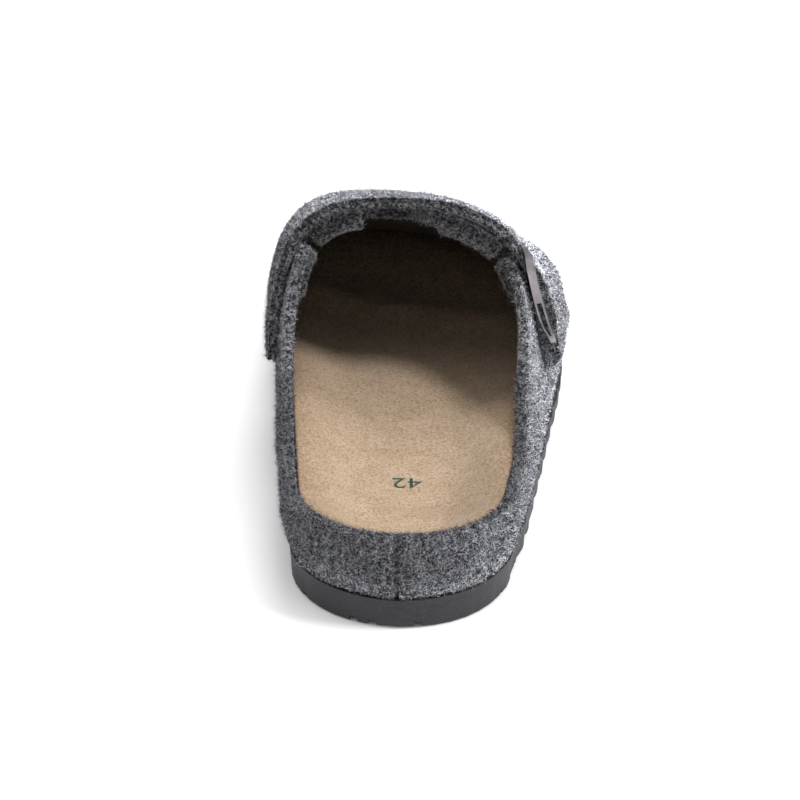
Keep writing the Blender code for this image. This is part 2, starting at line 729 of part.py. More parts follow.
def strap_lift(share):
    """How far the strap's inner face stands off the felt. It bows over the instep and clears the buckle's
    bar."""
    bar = math.exp(-(((share - BAR_SHARE) * STRAP_REACH / BAR_HUMP) ** 2))
    return strap_bow(share) + bar * (2 * BAR_RADIUS + GAP)


def strap_bow(share):
    return GAP + STRAP_BOW * math.sin(math.pi * share) ** 2


def strap_level(share):
    """Level of the strap's outer face, without its swell."""
    thicker = ease(min(share, 1 - share) / STRAP_TAPER)
    return strap_bow(share) + STRAP_THIN + (STRAP_THICK - STRAP_THIN) * thicker


def frame_place(share):
    """Where a share lies on the buckle: -1 at the frame's upper end, 1 at its lower end."""
    return (share - (TOP_SHARE + BOTTOM_SHARE) / 2) / ((BOTTOM_SHARE - TOP_SHARE) / 2)


def strap_top(share):
    """Level of the strap's outer face. It swells out in the buckle's window and dips under its upper end."""
    place = frame_place(share)
    swell = STRAP_SWELL * max(0.0, 1 - (place / SWELL_END) ** 2) ** 2
    return strap_level(share) + swell - STRAP_DIP * math.exp(-(((place + DIP_AT) / DIP_REACH) ** 2))


def make_strap():
    """The instep strap."""
    rows = [i / STRAP_CELLS for i in range(STRAP_CELLS + 1)]
    ys = [STRAP_FROM + STRAP_WIDTH * i / 4 for i in range(5)]
    return strip("instep_strap", rows, ys, strap_lift, strap_top)


def tube(name, centres, sides, profile):
    """A bar swept along its centres. sides are the cross directions, and profile the outline round them."""
    bm = bmesh.new()
    rings = []
    for centre, (wide, tall) in zip(centres, sides):
        rings.append([bm.verts.new(centre + wide * a + tall * b) for a, b in profile])
    for low, high in zip(rings, rings[1:]):
        for k in range(len(profile)):
            n = (k + 1) % len(profile)
            bm.faces.new((low[k], low[n], high[n], high[k]))
    bm.faces.new(rings[0])
    bm.faces.new(list(reversed(rings[-1])))
    return finish_mesh(name, bm)


def round_box(half, wide, radius, stops):
    """A rounded rectangle round the origin. Its two long sides pass through the given stops."""
    outline = []
    flat = wide - radius
    for turn, (s, y) in enumerate(((1, 1), (-1, 1), (-1, -1), (1, -1))):
        for i in range(CORNER_STEPS + 1):
            angle = math.radians(90 * (turn + i / CORNER_STEPS))
            place = (s * (half - radius) + radius * math.cos(angle), y * flat + radius * math.sin(angle))
            outline.append(place)
        if turn == 0:
            outline += [(stop, wide) for stop in stops]
        elif turn == 2:
            outline += [(stop, -wide) for stop in reversed(stops)]
        else:
            outline += [(s * half, y * flat * (1 - 2 * i / END_SPANS)) for i in range(1, END_SPANS)]
    return outline


def frame_top(place):
    """Level of the frame's outer face."""
    share = (TOP_SHARE + BOTTOM_SHARE) / 2 + place * (BOTTOM_SHARE - TOP_SHARE) / 2
    return strap_level(share) + curve([f.place for f in FRAMES], [f.rise for f in FRAMES], place)


def frame_depth(place):
    """Depth of the frame's walls."""
    return curve([f.place for f in FRAMES], [f.depth for f in FRAMES], place)


def frame_levels(place, wide):
    """Levels of the frame's section: its outer face, the slot's two sides and its inner face. Over the strap
    the frame is thin, and beside it its walls are deep."""
    beside = min(1.0, max(0.0, (abs(wide) - STRAP_WIDTH / 2) / BUCKLE_MARGIN))
    top = frame_top(place)
    depth = END_DEPTH + (frame_depth(place) - END_DEPTH) * beside
    rail = min(SLOT_RAIL, depth / 3)
    return top, top - rail, top - depth + rail, top - depth


def on_strap(half, s, y, levels):
    """Points over one place of the flat frame, at each level off the felt."""
    share = (TOP_SHARE + BOTTOM_SHARE) / 2 + s / half * (BOTTOM_SHARE - TOP_SHARE) / 2
    return [STRAP.lifted(share, MIDDLE + y, level) for level in levels]


def make_buckle():
    """A bowed metal frame round the strap, with a slot in the lower part of each side wall and a bar under
    the strap."""
    half = (BOTTOM_SHARE - TOP_SHARE) / 2 * STRAP_REACH
    wide = STRAP_WIDTH / 2 + BUCKLE_MARGIN
    slot_low, slot_high = half * SLOT_END, half * (1 - 2 * SLOT_SHARE)
    above = BUCKLE_CORNER - half - slot_high
    stops = [slot_low + (slot_high - slot_low) * i / SLOT_SPANS for i in range(SLOT_SPANS + 1)]
    stops += [slot_high + above * i / SLOT_SPANS for i in range(1, SLOT_SPANS)]
    outer = round_box(half, wide + SIDE_WALL, BUCKLE_CORNER, stops)
    inner = round_box(half - END_BAR, wide, WINDOW_CORNER, stops)
    bm = bmesh.new()
    sections = []
    slotted = []
    for (s_out, y_out), (s_in, y_in) in zip(outer, inner):
        out_points = on_strap(half, s_out, y_out, frame_levels(s_out / half, y_out))
        in_points = on_strap(half, s_in, y_in, frame_levels(s_in / half, y_in))
        sections.append([bm.verts.new(p) for p in out_points + in_points[::-1]])
        on_side = abs(y_out) > wide + SIDE_WALL * 0.99
        slotted.append(on_side and slot_high - EPSILON < s_out < slot_low + EPSILON)
    count = len(sections)
    for k in range(count):
        n = (k + 1) % count
        a, b = sections[k], sections[n]
        open_span = slotted[k] and slotted[n]
        for j in range(8):
            m = (j + 1) % 8
            if not (open_span and j in (1, 5)):
                bm.faces.new((a[j], b[j], b[m], a[m]))
        if open_span:
            bm.faces.new((a[1], b[1], b[6], a[6]))
            bm.faces.new((a[2], b[2], b[5], a[5]))
        if slotted[k] and not (slotted[n] and slotted[k - 1]):
            bm.faces.new((a[1], a[2], a[5], a[6]))
    frame = finish_mesh("buckle", bm)
    join = frame.modifiers.new("bar", "BOOLEAN")
    join.object = make_bar(wide + SIDE_WALL / 2)
    join.operation = "UNION"
    join.solver = "EXACT"
    return frame


def keep_as_cutter(obj):
    """Takes a tool object out of the parts and hides it."""
    PARTS.objects.unlink(obj)
    CUTTERS.objects.link(obj)
    obj.hide_render = True
    obj.display_type = "WIRE"
    return obj


def make_bar(half_y):
    """The bar under the strap, bent up at both ends into the frame's side walls."""
    place = frame_place(BAR_SHARE)
    low = GAP + BAR_RADIUS
    high = frame_top(place) - frame_depth(place) / 2
    bend = 2 * BAR_RADIUS
    route = [(-half_y, high), (-half_y, low + bend), (-half_y + bend, low)]
    route += [(half_y * k / 3, low) for k in (-2, -1, 0, 1, 2)]
    route += [(half_y - bend, low), (half_y, low + bend), (half_y, high)]
    centres = [STRAP.lifted(BAR_SHARE, MIDDLE + y, lift) for y, lift in route]
    across = STRAP.point(BAR_SHARE + 0.01, MIDDLE) - STRAP.point(BAR_SHARE - 0.01, MIDDLE)
    across.normalize()
    sides = []
    for i in range(len(centres)):
        run = (centres[min(len(centres) - 1, i + 1)] - centres[max(0, i - 1)]).normalized()
        tall = run.cross(across).normalized()
        sides.append((tall.cross(run).normalized(), tall))
    turns = [math.pi / 4 * i for i in range(8)]
    profile = [(BAR_RADIUS * math.cos(t), BAR_RADIUS * math.sin(t)) for t in turns]
    return keep_as_cutter(tube("buckle_bar", centres, sides, profile))


def paint(obj):
    colour, rough, metal = PAINT[obj.name]
    material = bpy.data.materials.new(obj.name)
    material.use_nodes = True
    shader = material.node_tree.nodes["Principled BSDF"]
    shader.inputs["Base Color"].default_value = (*colour, 1.0)
    shader.inputs["Roughness"].default_value = rough
    shader.inputs["Metallic"].default_value = metal
    obj.data.materials.append(material)


def centre_on_floor(parts):
    """Hangs the parts on an empty that puts the middle of their box over the origin."""
    bpy.context.view_layer.update()
    graph = bpy.context.evaluated_depsgraph_get()
    corners = []
    for part in parts:
        seen = part.evaluated_get(graph)
        corners += [seen.matrix_world @ Vector(c) for c in seen.bound_box]
    middle = [(min(c[k] for c in corners) + max(c[k] for c in corners)) / 2 for k in (0, 1)]
    floor = min(c.z for c in corners)
    stand = bpy.data.objects.new("clog_slipper", None)
    PARTS.objects.link(stand)
    for part in list(parts) + list(CUTTERS.objects):
        part.parent = stand
    stand.location = (-middle[0], -middle[1], -floor)


def new_collection(name):
    made = bpy.data.collections.new(name)
    bpy.context.scene.collection.children.link(made)
    return made


for old in list(bpy.data.objects):
    bpy.data.objects.remove(old)

PARTS = new_collection("clog slipper")
CUTTERS = new_collection("cutters")
RIBS = make_ribs()
MIDDLE = STRAP_FROM + STRAP_WIDTH / 2
STRAP = Strap()
STRAP_REACH = STRAP.reach(MIDDLE)
TOP_SHARE = STRAP.share_at(BUCKLE_TOP, MIDDLE)
BOTTOM_SHARE = STRAP.share_at(BUCKLE_BOTTOM, MIDDLE)
BAR_SHARE = BOTTOM_SHARE - (BOTTOM_SHARE - TOP_SHARE) * (SLOT_SHARE + BAR_ABOVE)

made = [make_outsole(RIBS), make_footbed(RIBS), make_upper(RIBS), make_strap(), make_buckle()]
for piece in made:
    paint(piece)
centre_on_floor(made)
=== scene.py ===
# %% [markdown]
# # A felt clog slipper
#
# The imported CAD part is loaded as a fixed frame, in metres, with +Y towards the toe, +X towards the
# wearer's right and the floor at zero. Everything below gives that frame its looks: soft felt with fuzz on
# it, a suede footbed, a rubber sole and a dull metal buckle.

import math

import bpy
import numpy as np
from mathutils import Matrix, Vector
from mathutils.bvhtree import BVHTree
from mathutils.kdtree import KDTree


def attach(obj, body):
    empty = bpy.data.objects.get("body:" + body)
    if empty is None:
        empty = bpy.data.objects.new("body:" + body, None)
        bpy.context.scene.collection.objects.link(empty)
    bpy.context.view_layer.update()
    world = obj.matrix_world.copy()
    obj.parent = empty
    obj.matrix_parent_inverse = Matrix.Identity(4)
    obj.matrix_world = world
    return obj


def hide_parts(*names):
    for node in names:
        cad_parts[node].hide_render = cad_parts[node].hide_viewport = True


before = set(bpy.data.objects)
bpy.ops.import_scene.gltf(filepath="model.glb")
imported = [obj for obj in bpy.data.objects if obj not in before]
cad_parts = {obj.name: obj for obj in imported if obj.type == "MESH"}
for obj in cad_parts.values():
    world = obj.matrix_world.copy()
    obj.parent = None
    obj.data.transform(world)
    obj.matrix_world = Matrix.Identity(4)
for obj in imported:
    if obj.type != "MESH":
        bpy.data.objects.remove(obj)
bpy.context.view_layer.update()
print("nodes:", sorted(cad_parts))

# %% [markdown]
# ## Camera, floor and light
#
# The slipper is seen from behind the heel, a little from above, through a long lens, as a shop photograph
# is taken. The camera is aimed at a point on the centre line and leans a degree, as the photographer's did.
# A long lens keeps the toe from looking small.

# %% Camera
HEEL_BACK = Vector((-0.0050, -0.1414, 0.0))  # the heel's back on the floor, in the frame
AIM = HEEL_BACK + Vector((-0.0005, 0.1155, 0.0300))
CAMERA_AWAY = 1.800
CAMERA_TURN = math.radians(-0.41)
CAMERA_RISE = math.radians(25.0)
CAMERA_LEAN = math.radians(1.15)
LENS = 234.0


def add_camera():
    back = Vector((
        math.sin(CAMERA_TURN) * math.cos(CAMERA_RISE),
        -math.cos(CAMERA_TURN) * math.cos(CAMERA_RISE),
        math.sin(CAMERA_RISE),
    ))
    level = Vector((math.cos(CAMERA_TURN), math.sin(CAMERA_TURN), 0))
    above = back.cross(level)
    right = level * math.cos(CAMERA_LEAN) + above * math.sin(CAMERA_LEAN)
    up = above * math.cos(CAMERA_LEAN) - level * math.sin(CAMERA_LEAN)
    lens = bpy.data.cameras.new("camera")
    lens.lens = LENS
    lens.clip_end = 20.0
    camera = bpy.data.objects.new("camera", lens)
    bpy.context.scene.collection.objects.link(camera)
    facing = Matrix((right, up, back)).transposed().to_4x4()
    camera.matrix_world = Matrix.Translation(AIM + back * CAMERA_AWAY) @ facing
    bpy.context.scene.camera = camera
    return camera


camera = add_camera()
print("camera", [round(v, 3) for v in camera.location])

# %% [markdown]
# The floor is a wide white sheet. The main lamp is soft and hangs high on the buckle's side, a little behind
# the heel, so its light falls in under the strap and the right wall shades its own side of the footbed. The
# white room fills the rest. The paper glows a little, so that it stays white, but an occlusion mask dims the
# glow near and under the sole, a painted shadow, so the only shadow on the floor is the soft one under the
# sole, partly cast by the lamps and partly painted.

# %% Floor and light
GLOW = 0.62
GLOW_REACH = 0.030  # nearer than this to the sole the paper glows less
ROOM_LIGHT = 0.40


def deselect():
    for thing in bpy.context.selected_objects:
        thing.select_set(False)


def only(thing):
    deselect()
    thing.select_set(True)
    bpy.context.view_layer.objects.active = thing


deselect()
bpy.ops.mesh.primitive_plane_add(size=8.0, location=(0, 0, 0))
floor = bpy.context.active_object
floor.name = "floor"
white = bpy.data.materials.new("white_floor")
white.use_nodes = True
paper = white.node_tree.nodes["Principled BSDF"]
paper.inputs["Base Color"].default_value = (0.96, 0.96, 0.97, 1)
paper.inputs["Roughness"].default_value = 0.9
paper.inputs["Emission Color"].default_value = (1, 1, 1, 1)
# Painted shadow: ambient occlusion dims the paper's glow near and under the sole.
painted_shadow_mask = white.node_tree.nodes.new("ShaderNodeAmbientOcclusion")
painted_shadow_mask.samples = 8
painted_shadow_mask.inputs["Distance"].default_value = GLOW_REACH
glow = white.node_tree.nodes.new("ShaderNodeMath")
glow.operation = "MULTIPLY"
glow.inputs[1].default_value = GLOW
white.node_tree.links.new(painted_shadow_mask.outputs["AO"], glow.inputs[0])
white.node_tree.links.new(glow.outputs["Value"], paper.inputs["Emission Strength"])
floor.data.materials.append(white)


def add_lamp(name, place, aim, size, watts):
    light = bpy.data.lights.new(name, "AREA")
    light.shape = "DISK"
    light.size = size
    light.energy = watts
    lamp = bpy.data.objects.new(name, light)
    bpy.context.scene.collection.objects.link(lamp)
    lamp.location = place
    lamp.rotation_euler = (Vector(aim) - Vector(place)).to_track_quat("-Z", "Y").to_euler()
    return lamp


add_lamp("top_lamp", (1.12, -0.32, 1.35), (0, 0, 0.03), 0.60, 19.0)
add_lamp("back_lamp", (0.10, 0.9, 1.3), (0, 0, 0.05), 0.70, 9.0)
room = bpy.data.worlds.new("white_room")
room.use_nodes = True
room.node_tree.nodes["Background"].inputs["Color"].default_value = (1.0, 1.0, 1.0, 1)
room.node_tree.nodes["Background"].inputs["Strength"].default_value = ROOM_LIGHT
bpy.context.scene.world = room
bpy.context.scene.view_settings.view_transform = "Standard"

# %% [markdown]
# ## A shader group that several finishes share
#
# Felt is a mat of short, curly wool fibres. Where a noise crosses its middle value, it draws thin closed
# curls, and a narrow band round that value looks like a fibre. Three such fields, each turned and stretched
# its own way, cross like the fibres of felt. A coarser noise gives the small hollows between them and the
# mask for their painted shade. The group reads Object coordinates, so the wool is the same size on every
# piece.

# %% The wool group
MM = 0.001


def new_group(name, numbers, outputs):
    """A shader group with float inputs (name, value) and float outputs."""
    group = bpy.data.node_groups.new(name, "ShaderNodeTree")
    for label, value in numbers:
        socket = group.interface.new_socket(label, in_out="INPUT", socket_type="NodeSocketFloat")
        socket.default_value = value
    for label in outputs:
        group.interface.new_socket(label, in_out="OUTPUT", socket_type="NodeSocketFloat")
    return group, group.nodes.new("NodeGroupInput"), group.nodes.new("NodeGroupOutput")


def add_math(tree, operation, *values):
    node = tree.nodes.new("ShaderNodeMath")
    node.operation = operation
    for socket, value in zip(node.inputs, values):
        if isinstance(value, (int, float)):
            socket.default_value = value
        else:
            tree.links.new(value, socket)
    return node.outputs["Value"]


def add_noise(tree, vector, size, detail=2.0, roughness=0.5, distortion=0.0):
    """Noise whose features are about size metres across."""
    node = tree.nodes.new("ShaderNodeTexNoise")
    node.inputs["Scale"].default_value = 1 / size
    node.inputs["Detail"].default_value = detail
    node.inputs["Roughness"].default_value = roughness
    node.inputs["Distortion"].default_value = distortion
    tree.links.new(vector, node.inputs["Vector"])
    return node.outputs["Fac"]


def add_range(tree, value, low, high, to_low=0.0, to_high=1.0):
    node = tree.nodes.new("ShaderNodeMapRange")
    for label, number in (("From Min", low), ("From Max", high), ("To Min", to_low), ("To Max", to_high)):
        node.inputs[label].default_value = number
    tree.links.new(value, node.inputs["Value"])
    return node.outputs["Result"]


def turned(tree, vector, turn, stretch):
    node = tree.nodes.new("ShaderNodeMapping")
    node.inputs["Rotation"].default_value = turn
    node.inputs["Scale"].default_value = stretch
    tree.links.new(vector, node.inputs["Vector"])
    return node.outputs["Vector"]


CURLS = (
    ((0.3, 0.2, 0.5), 1.9 * MM),
    ((1.1, 0.7, 1.9), 2.4 * MM),
    ((2.0, 1.4, 0.9), 1.5 * MM),
)
CURL_STRETCH = (0.55, 1.0, 1.0)


def build_wool():
    group, given, out = new_group("wool", (("Fibre", 0.075),), ("Light", "ShadedHollow", "Height"))
    place = group.nodes.new("ShaderNodeTexCoord").outputs["Object"]
    light = None
    for turn, size in CURLS:
        field = add_noise(group, turned(group, place, turn, CURL_STRETCH), size, 1.0, 0.5, 0.8)
        off = add_math(group, "ABSOLUTE", add_math(group, "SUBTRACT", field, 0.5))
        line = add_math(group, "SUBTRACT", 1.0, add_math(group, "DIVIDE", off, given.outputs["Fibre"]))
        light = line if light is None else add_math(group, "MAXIMUM", light, line)
    light = add_math(group, "MAXIMUM", light, 0.0)
    strength = add_range(group, add_noise(group, place, 1.3 * MM, 2.0, 0.6), 0.40, 0.60)
    light = add_math(group, "MULTIPLY", light, strength)
    shaded_hollow = add_range(group, add_noise(group, place, 1.2 * MM, 2.0, 0.6), 0.56, 0.42)
    group.links.new(light, out.inputs["Light"])
    group.links.new(shaded_hollow, out.inputs["ShadedHollow"])
    group.links.new(add_math(group, "SUBTRACT", light, shaded_hollow), out.inputs["Height"])
    return group


WOOL = build_wool()
print("group", WOOL.name, "with", len(WOOL.nodes), "nodes")

# %% [markdown]
# Every material starts from a Principled shader. These helpers make one, mix colours, ramp a value and add a
# bump, so that each finish below is only the part that is its own.

# %% Material helpers


def new_material(name, roughness, metallic=0.0):
    material = bpy.data.materials.new(name)
    material.use_nodes = True
    shader = material.node_tree.nodes["Principled BSDF"]
    shader.inputs["Roughness"].default_value = roughness
    shader.inputs["Metallic"].default_value = metallic
    return material, material.node_tree, shader


def add_bump(tree, shader, height, strength, distance, under=None):
    node = tree.nodes.new("ShaderNodeBump")
    node.inputs["Strength"].default_value = strength
    node.inputs["Distance"].default_value = distance
    tree.links.new(height, node.inputs["Height"])
    if under is not None:
        tree.links.new(under, node.inputs["Normal"])
    tree.links.new(node.outputs["Normal"], shader.inputs["Normal"])


def mix_colours(tree, amount, first, second, kind="MIX"):
    node = tree.nodes.new("ShaderNodeMix")
    node.data_type = "RGBA"
    node.blend_type = kind
    sockets = (node.inputs["Factor"], node.inputs[6], node.inputs[7])
    for socket, value in zip(sockets, (amount, first, second)):
        if isinstance(value, (int, float)):
            socket.default_value = value
        elif isinstance(value, tuple):
            socket.default_value = (*value, 1)
        else:
            tree.links.new(value, socket)
    return node.outputs[2]


def object_place(tree):
    return tree.nodes.new("ShaderNodeTexCoord").outputs["Object"]


# %% [markdown]
# ## Heather grey felt
#
# The wool is a blend of near-black, grey and almost white fibres. The hollows get near-black painted shade,
# the fibres that cross them are pale, and a slow noise makes the blend a little lighter here and darker
# there. An attribute called tone, which is painted on the pieces further down, holds painted light and
# shade: shade on edges high up that look back, on the seam and inside, light on the tops, the right side
# and low on the heel. Sheen gives the bloom that felt has where it turns away.

# %% Felt
FELT_HOLLOW_SHADE = (0.012, 0.0125, 0.016)
FELT_MID = (0.070, 0.072, 0.083)
FELT_PALE = (0.66, 0.67, 0.72)


def make_felt(name, shade):
    material, tree, shader = new_material(name, 0.95)
    wool = tree.nodes.new("ShaderNodeGroup")
    wool.node_tree = WOOL
    place = object_place(tree)
    dark, middle, pale = (tuple(c * shade for c in colour) for colour in (FELT_HOLLOW_SHADE, FELT_MID, FELT_PALE))
    # Painted shade: the wool's hollows are coloured near-black.
    mat = mix_colours(tree, wool.outputs["ShadedHollow"], middle, dark)
    mat = mix_colours(tree, wool.outputs["Light"], mat, pale)
    patch = add_range(tree, add_noise(tree, place, 6 * MM, 3.0, 0.6), 0.32, 0.68, 0.66, 1.30)
    # The attribute tone is painted light and shade, multiplied into the felt's colour with the slow patches.
    tone = tree.nodes.new("ShaderNodeAttribute")
    tone.attribute_name = "tone"
    patch = add_math(tree, "MULTIPLY", patch, tone.outputs["Fac"])
    grey = tree.nodes.new("ShaderNodeCombineColor")
    for label in ("Red", "Green", "Blue"):
        tree.links.new(patch, grey.inputs[label])
    colour = mix_colours(tree, 1.0, mat, grey.outputs["Color"], "MULTIPLY")
    tree.links.new(colour, shader.inputs["Base Color"])
    add_bump(tree, shader, wool.outputs["Height"], 0.8, 0.35 * MM)
    shader.inputs["Sheen Weight"].default_value = 0.45
    shader.inputs["Sheen Roughness"].default_value = 0.4
    shader.inputs["Specular IOR Level"].default_value = 0.12
    return material


FELT = make_felt("heather_felt", 1.0)
STRAP_FELT = make_felt("strap_felt", 0.85)
print("made", FELT.name, "and", STRAP_FELT.name)

# %% [markdown]
# ## Suede
#
# The footbed is covered in tan suede, brushed paler here and there, with dark pores. Near its rim it is
# browner and more speckled. The upper's wall is lined with thin brown suede, which is only seen in shade
# under the vamp, so its colour is near-black: painted shade over the suede's own brown.

# %% Suede
SUEDE_LIGHT = (0.64, 0.480, 0.335)
SUEDE_DARK = (0.56, 0.410, 0.275)
SUEDE_SPECK = (0.22, 0.140, 0.085)
SUEDE_RIM = (0.42, 0.275, 0.160)
LINING_IN_SHADE = (0.075, 0.064, 0.052)
LINING_IN_DEEP_SHADE = (0.030, 0.026, 0.022)


def make_suede():
    """Tan suede. Near the footbed's rim, where an attribute says so, it is browner and more speckled."""
    material, tree, shader = new_material("tan_suede", 0.95)
    place = object_place(tree)
    rim = tree.nodes.new("ShaderNodeAttribute")
    rim.attribute_name = "rim"
    brushed = add_range(tree, add_noise(tree, place, 9 * MM, 4.0, 0.62, 0.4), 0.36, 0.60)
    tone = mix_colours(tree, brushed, SUEDE_DARK, SUEDE_LIGHT)
    patchy = add_range(tree, add_noise(tree, place, 3 * MM, 3.0, 0.7), 0.30, 0.65, 0.15, 0.85)
    tone = mix_colours(tree, add_math(tree, "MULTIPLY", rim.outputs["Fac"], patchy), tone, SUEDE_RIM)
    grain = add_noise(tree, place, 0.85 * MM, 3.0, 0.75)
    pores = add_math(tree, "ADD", grain, add_math(tree, "MULTIPLY", rim.outputs["Fac"], -0.10))
    tone = mix_colours(tree, add_range(tree, pores, 0.54, 0.36, 0.0, 0.72), tone, SUEDE_SPECK)
    specks = add_range(tree, add_noise(tree, place, 1.6 * MM, 4.0, 0.8), 0.35, 0.30, 0.0, 0.8)
    tone = mix_colours(tree, specks, tone, SUEDE_SPECK)
    tree.links.new(tone, shader.inputs["Base Color"])
    add_bump(tree, shader, grain, 0.6, 0.25 * MM)
    shader.inputs["Sheen Weight"].default_value = 0.15
    shader.inputs["Specular IOR Level"].default_value = 0.12
    return material


def make_lining():
    # Painted shade: the lining is coloured near-black brown, its own brown darkened for the shade under the
    # vamp.
    material, tree, shader = new_material("lining_in_painted_shade", 0.95)
    grain = add_noise(tree, object_place(tree), 1.2 * MM, 3.0, 0.7)
    tree.links.new(mix_colours(tree, grain, LINING_IN_DEEP_SHADE, LINING_IN_SHADE), shader.inputs["Base Color"])
    add_bump(tree, shader, grain, 0.5, 0.25 * MM)
    shader.inputs["Specular IOR Level"].default_value = 0.12
    return material


SUEDE = make_suede()
LINING = make_lining()
print("made", SUEDE.name, "and", LINING.name)

# %% [markdown]
# ## Smooth copies of the soft solids
#
# Each soft solid is copied, its triangles are joined back into quads, its cut edges get a crease, and a
# Subdivision Surface rounds it. The copy then stands for its node.

# %% Copy and soften


def copy_node(node, name):
    """A merged copy of a CAD node, with its triangles joined back into quads."""
    piece = bpy.data.objects.new(name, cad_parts[node].data.copy())
    bpy.context.scene.collection.objects.link(piece)
    piece.data.materials.clear()
    only(piece)
    bpy.ops.object.mode_set(mode="EDIT")
    bpy.ops.mesh.select_all(action="SELECT")
    bpy.ops.mesh.remove_doubles(threshold=0.00001)
    bpy.ops.mesh.tris_convert_to_quads(face_threshold=math.radians(60), shape_threshold=math.radians(60))
    bpy.ops.mesh.customdata_custom_splitnormals_clear()
    bpy.ops.object.mode_set(mode="OBJECT")
    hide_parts(node)
    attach(piece, "root")
    return piece


def soften(piece, sharp_angle, crease, levels):
    """Rounds a copy. Edges sharper than sharp_angle, in degrees, keep some of their edge."""
    only(piece)
    bpy.ops.object.mode_set(mode="EDIT")
    bpy.ops.mesh.select_all(action="DESELECT")
    bpy.ops.mesh.select_mode(type="EDGE")
    bpy.ops.mesh.edges_select_sharp(sharpness=math.radians(sharp_angle))
    bpy.ops.transform.edge_crease(value=crease)
    bpy.ops.object.mode_set(mode="OBJECT")
    round_it = piece.modifiers.new("round", "SUBSURF")
    round_it.levels = round_it.render_levels = levels
    bpy.ops.object.modifier_apply(modifier="round")
    piece.data.polygons.foreach_set("use_smooth", [True] * len(piece.data.polygons))
    print(piece.name, "has", len(piece.data.polygons), "faces")


upper = copy_node("upper", "felt_upper")
soften(upper, 50, 0.45, 2)
strap = copy_node("instep_strap", "felt_strap")
soften(strap, 50, 0.5, 3)
footbed = copy_node("footbed", "suede_footbed")
soften(footbed, 60, 0.7, 2)
footbed.data.materials.append(SUEDE)


def mark_rim(piece, reach):
    """An attribute that is 1 at the piece's side wall and fades over reach."""
    normals = [vertex.normal for vertex in piece.data.vertices]
    side = [vertex.co for vertex, normal in zip(piece.data.vertices, normals) if abs(normal.z) < 0.35]
    near = KDTree(len(side))
    for i, place in enumerate(side):
        near.insert(place, i)
    near.balance()
    rim = piece.data.attributes.new("rim", "FLOAT", "POINT")
    values = [math.exp(-near.find(vertex.co)[2] / reach) for vertex in piece.data.vertices]
    rim.data.foreach_set("value", values)
    print("rim marked on", piece.name)


mark_rim(footbed, 6 * MM)

# %% [markdown]
# The felt's outer face and its cut edge are wool, and the face towards the foot is lining. A face is inside
# where it looks back at a line through the middle of the shoe. Just inside the throat the lining stops and
# the bare felt shows.

# %% Tell the outside from the inside
FOOT_LINE_HEIGHT = 0.036
FOOT_LINE_HEEL = HEEL_BACK.y + 0.045
FOOT_LINE_TOE = 0.085
LINED_FROM = 0.62  # how squarely a face has to look at the line to be lined
THROAT = 0.0131  # the vamp's rear edge
FACING_DEPTH = 0.026  # how far ahead of the throat the felt is bare inside
FACING_BEHIND = 0.010  # and how far behind it, at the tips of the wings
FACING_HEIGHT = 0.042


def mesh_arrays(piece):
    """Places and normals of a piece's vertices."""
    count = len(piece.data.vertices)
    places, normals = np.empty(count * 3), np.empty(count * 3)
    piece.data.vertices.foreach_get("co", places)
    piece.data.vertices.foreach_get("normal", normals)
    return places.reshape(-1, 3), normals.reshape(-1, 3)


def place_points(piece, places):
    """Moves a piece's vertices to these places."""
    piece.data.vertices.foreach_set("co", places.ravel())
    piece.data.update()


def towards_foot(places):
    """Directions from places to the line through the middle of the shoe."""
    line = np.stack([
        np.full(len(places), HEEL_BACK.x),
        np.clip(places[:, 1], FOOT_LINE_HEEL, FOOT_LINE_TOE),
        np.full(len(places), FOOT_LINE_HEIGHT),
    ], axis=1)
    way = line - places
    return way / np.linalg.norm(way, axis=1)[:, None]


def line_the_inside(piece):
    count = len(piece.data.polygons)
    places, normals = np.empty(count * 3), np.empty(count * 3)
    piece.data.polygons.foreach_get("center", places)
    piece.data.polygons.foreach_get("normal", normals)
    places, normals = places.reshape(-1, 3), normals.reshape(-1, 3)
    inward = (towards_foot(places) * normals).sum(axis=1)
    facing = (places[:, 1] > THROAT - FACING_BEHIND) & (places[:, 1] < THROAT + FACING_DEPTH)
    facing &= places[:, 2] > FACING_HEIGHT
    lined = (inward > LINED_FROM) & ~facing
    piece.data.materials.append(FELT)
    piece.data.materials.append(LINING)
    piece.data.polygons.foreach_set("material_index", lined.astype(np.int32))
    piece.data.update()
    print("lining faces", int(lined.sum()))


line_the_inside(upper)
strap.data.materials.append(STRAP_FELT)

# %% [markdown]
# ## Lumps
#
# No felt wall is even. A Displace with a cloud texture makes it swell and sink by a few tenths of a
# millimetre. A vertex group keeps that off the inside, where the foot would feel it.

# %% Lumps
WEIGHT_STEPS = 10


def ramp(values, start, end):
    """0 at start, 1 at end and straight between them."""
    return np.clip((values - start) / (end - start), 0, 1)


def facing_foot(piece):
    """How squarely each vertex looks at the middle of the shoe: 1 is straight at it and -1 away from it."""
    places, normals = mesh_arrays(piece)
    return (towards_foot(places) * normals).sum(axis=1)


def outward_share(piece):
    """1 on the outer face, 0 on the inner one."""
    return ramp(-facing_foot(piece), -0.2, 0.3)


def weigh_outside(piece):
    outward = np.round(outward_share(piece) * WEIGHT_STEPS)
    group = piece.vertex_groups.new(name="outside")
    for step in range(WEIGHT_STEPS + 1):
        chosen = np.nonzero(outward == step)[0]
        if len(chosen):
            group.add(chosen.tolist(), step / WEIGHT_STEPS, "REPLACE")


def add_lumps(piece, size, height):
    cloud = bpy.data.textures.new(piece.name + "_lumps", "CLOUDS")
    cloud.noise_scale = size
    cloud.noise_depth = 2
    lumps = piece.modifiers.new("lumps", "DISPLACE")
    lumps.texture = cloud
    lumps.strength = height
    lumps.mid_level = 0.5
    lumps.vertex_group = "outside"
    only(piece)
    bpy.ops.object.modifier_apply(modifier="lumps")


